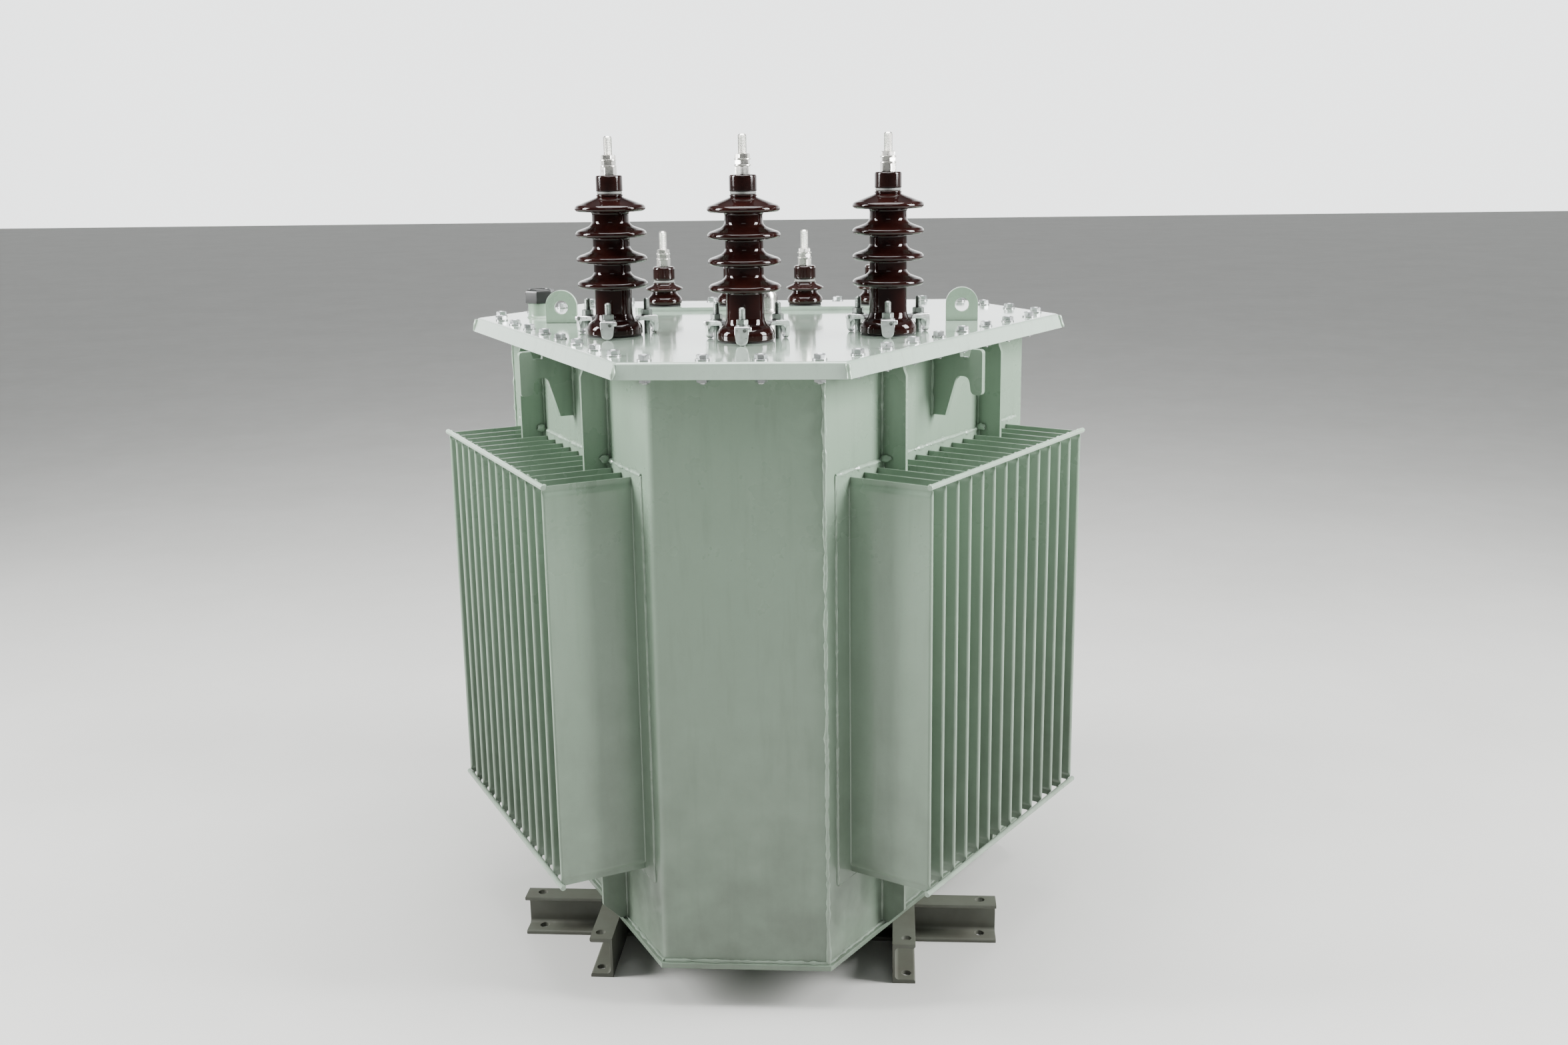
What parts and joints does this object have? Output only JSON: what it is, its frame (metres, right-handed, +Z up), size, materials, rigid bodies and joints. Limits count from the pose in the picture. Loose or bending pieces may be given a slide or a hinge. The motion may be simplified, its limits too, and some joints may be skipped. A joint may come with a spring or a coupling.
{
  "type": "distribution transformer",
  "caption": "Oil-filled three-phase distribution transformer with a truncated-triangle tank, finned long walls and porcelain bushings on its bolted cover.",
  "frame": {"origin": "centre of the base bolt rectangle, on the underside of the base channels, on the tank's three-fold axis", "axes": "+Z up; -Y out of the front short face; X to the right seen from the front; long walls face +90, -30 and 210 degrees"},
  "size_m": [1.283, 1.1491, 1.553],
  "materials": {
    "tank_paint": "glossy sage-green enamel",
    "base_paint": "dull grey-green paint over rolled steel",
    "gasket_rubber": "matt nitrile rubber",
    "grey_gasket": "grey nitrile rubber",
    "zinc_plate": "zinc-plated steel",
    "porcelain": "dark brown glaze",
    "tinned_brass": "tinned",
    "cast_aluminium": "die cast, unpainted",
    "valve_steel": "satin nickel plate",
    "spring_steel": "plain spring steel",
    "black_plastic": "moulded",
    "insulation_resin": "moulded phenolic",
    "valve_brass": "machined",
    "wheel_paint": "red enamel",
    "plate_aluminium": "blank anodised sheet",
    "core_steel": "varnished electrical steel",
    "winding": "paper-covered wire, averaged density",
    "pressboard": "pressboard",
    "copper_lead": "insulated copper"
  },
  "bodies": {
    "transformer": {"base_channel_left": "base_paint", "base_channel_right": "base_paint", "bushing_base_gaskets": "gasket_rubber", "bushing_cap_gaskets": "grey_gasket", "core_clamp_frames": "core_steel", "core_ring_left": "core_steel", "core_ring_rear": "core_steel", "core_ring_right": "core_steel", "core_tie_rods": "core_steel", "cover_bolts": "zinc_plate", "cover_gasket": "gasket_rubber", "cover_nuts": "zinc_plate", "cover_plate": "tank_paint", "cross_channel_front": "base_paint", "cross_channel_rear": "base_paint", "drain_valve_body": "valve_brass", "earth_terminal": "zinc_plate", "filler_neck": "tank_paint", "fin_bank_left": "tank_paint", "fin_bank_rear": "tank_paint", "fin_bank_right": "tank_paint", "fin_tie_rods": "tank_paint", "hv_caps": "porcelain", "hv_clamp_studs": "zinc_plate", "hv_clamps": "cast_aluminium", "hv_leads": "copper_lead", "hv_porcelain_a": "porcelain", "hv_porcelain_b": "porcelain", "hv_porcelain_c": "porcelain", "hv_terminal_nuts": "tinned_brass", "hv_terminal_studs": "tinned_brass", "hv_windings": "winding", "lifting_eyes": "tank_paint", "lifting_hooks": "tank_paint", "lv_caps": "porcelain", "lv_leads": "copper_lead", "lv_mounting_plate": "tank_paint", "lv_porcelain_a": "porcelain", "lv_porcelain_b": "porcelain", "lv_porcelain_c": "porcelain", "lv_porcelain_n": "porcelain", "lv_terminal_nuts": "tinned_brass", "lv_terminal_studs": "tinned_brass", "lv_windings": "winding", "rating_plate": "plate_aluminium", "relief_valve_body": "valve_steel", "relief_valve_spring": "spring_steel", "tank_flange": "tank_paint", "tank_floor_plate": "tank_paint", "tank_sheet_front": "tank_paint", "tank_sheet_left": "tank_paint", "tank_sheet_right": "tank_paint", "tap_changer_body": "insulation_resin", "wall_ribs": "tank_paint", "winding_barriers": "pressboard"},
    "relief_cap": {"relief_valve_cap": "valve_steel"},
    "filler_seal": {"filler_gasket": "gasket_rubber"},
    "filler_cap_body": {"filler_cap": "black_plastic"},
    "tap_handle": {"tap_changer_handle": "black_plastic"},
    "drain_wheel": {"drain_valve_wheel": "wheel_paint"}
  },
  "joints": [
    {"name": "relief_lift", "type": "slide", "parent": "transformer", "child": "relief_cap", "axis": [0, 0, 1], "range_m": [0, 0.005], "stiffness_N_per_m": 3000, "springref_m": -0.004, "deforming": ["relief_valve_spring"]},
    {"name": "filler_lift", "type": "slide", "parent": "transformer", "child": "filler_seal", "axis": [0, 0, 1], "range_m": [0, 0.01505]},
    {"name": "filler_turn", "type": "hinge", "parent": "filler_seal", "child": "filler_cap_body", "pos_m": [-0.465, 0.131, 1.236], "axis": [0, 0, 1], "range_deg": [0, 1800]},
    {"name": "tap_turn", "type": "hinge", "parent": "transformer", "child": "tap_handle", "pos_m": [-0.025, -0.02, 1.212], "axis": [0, 0, 1], "range_deg": [0, 120]},
    {"name": "drain_turn", "type": "hinge", "parent": "transformer", "child": "drain_wheel", "pos_m": [-0.48584, 0.2805, 0.204], "axis": [0, 0, 1], "range_deg": [0, 1440]}
  ],
  "couplings": [
    {"joint": "filler_lift", "follows": "filler_turn", "m_per_rad": 0.00047746}
  ]
}
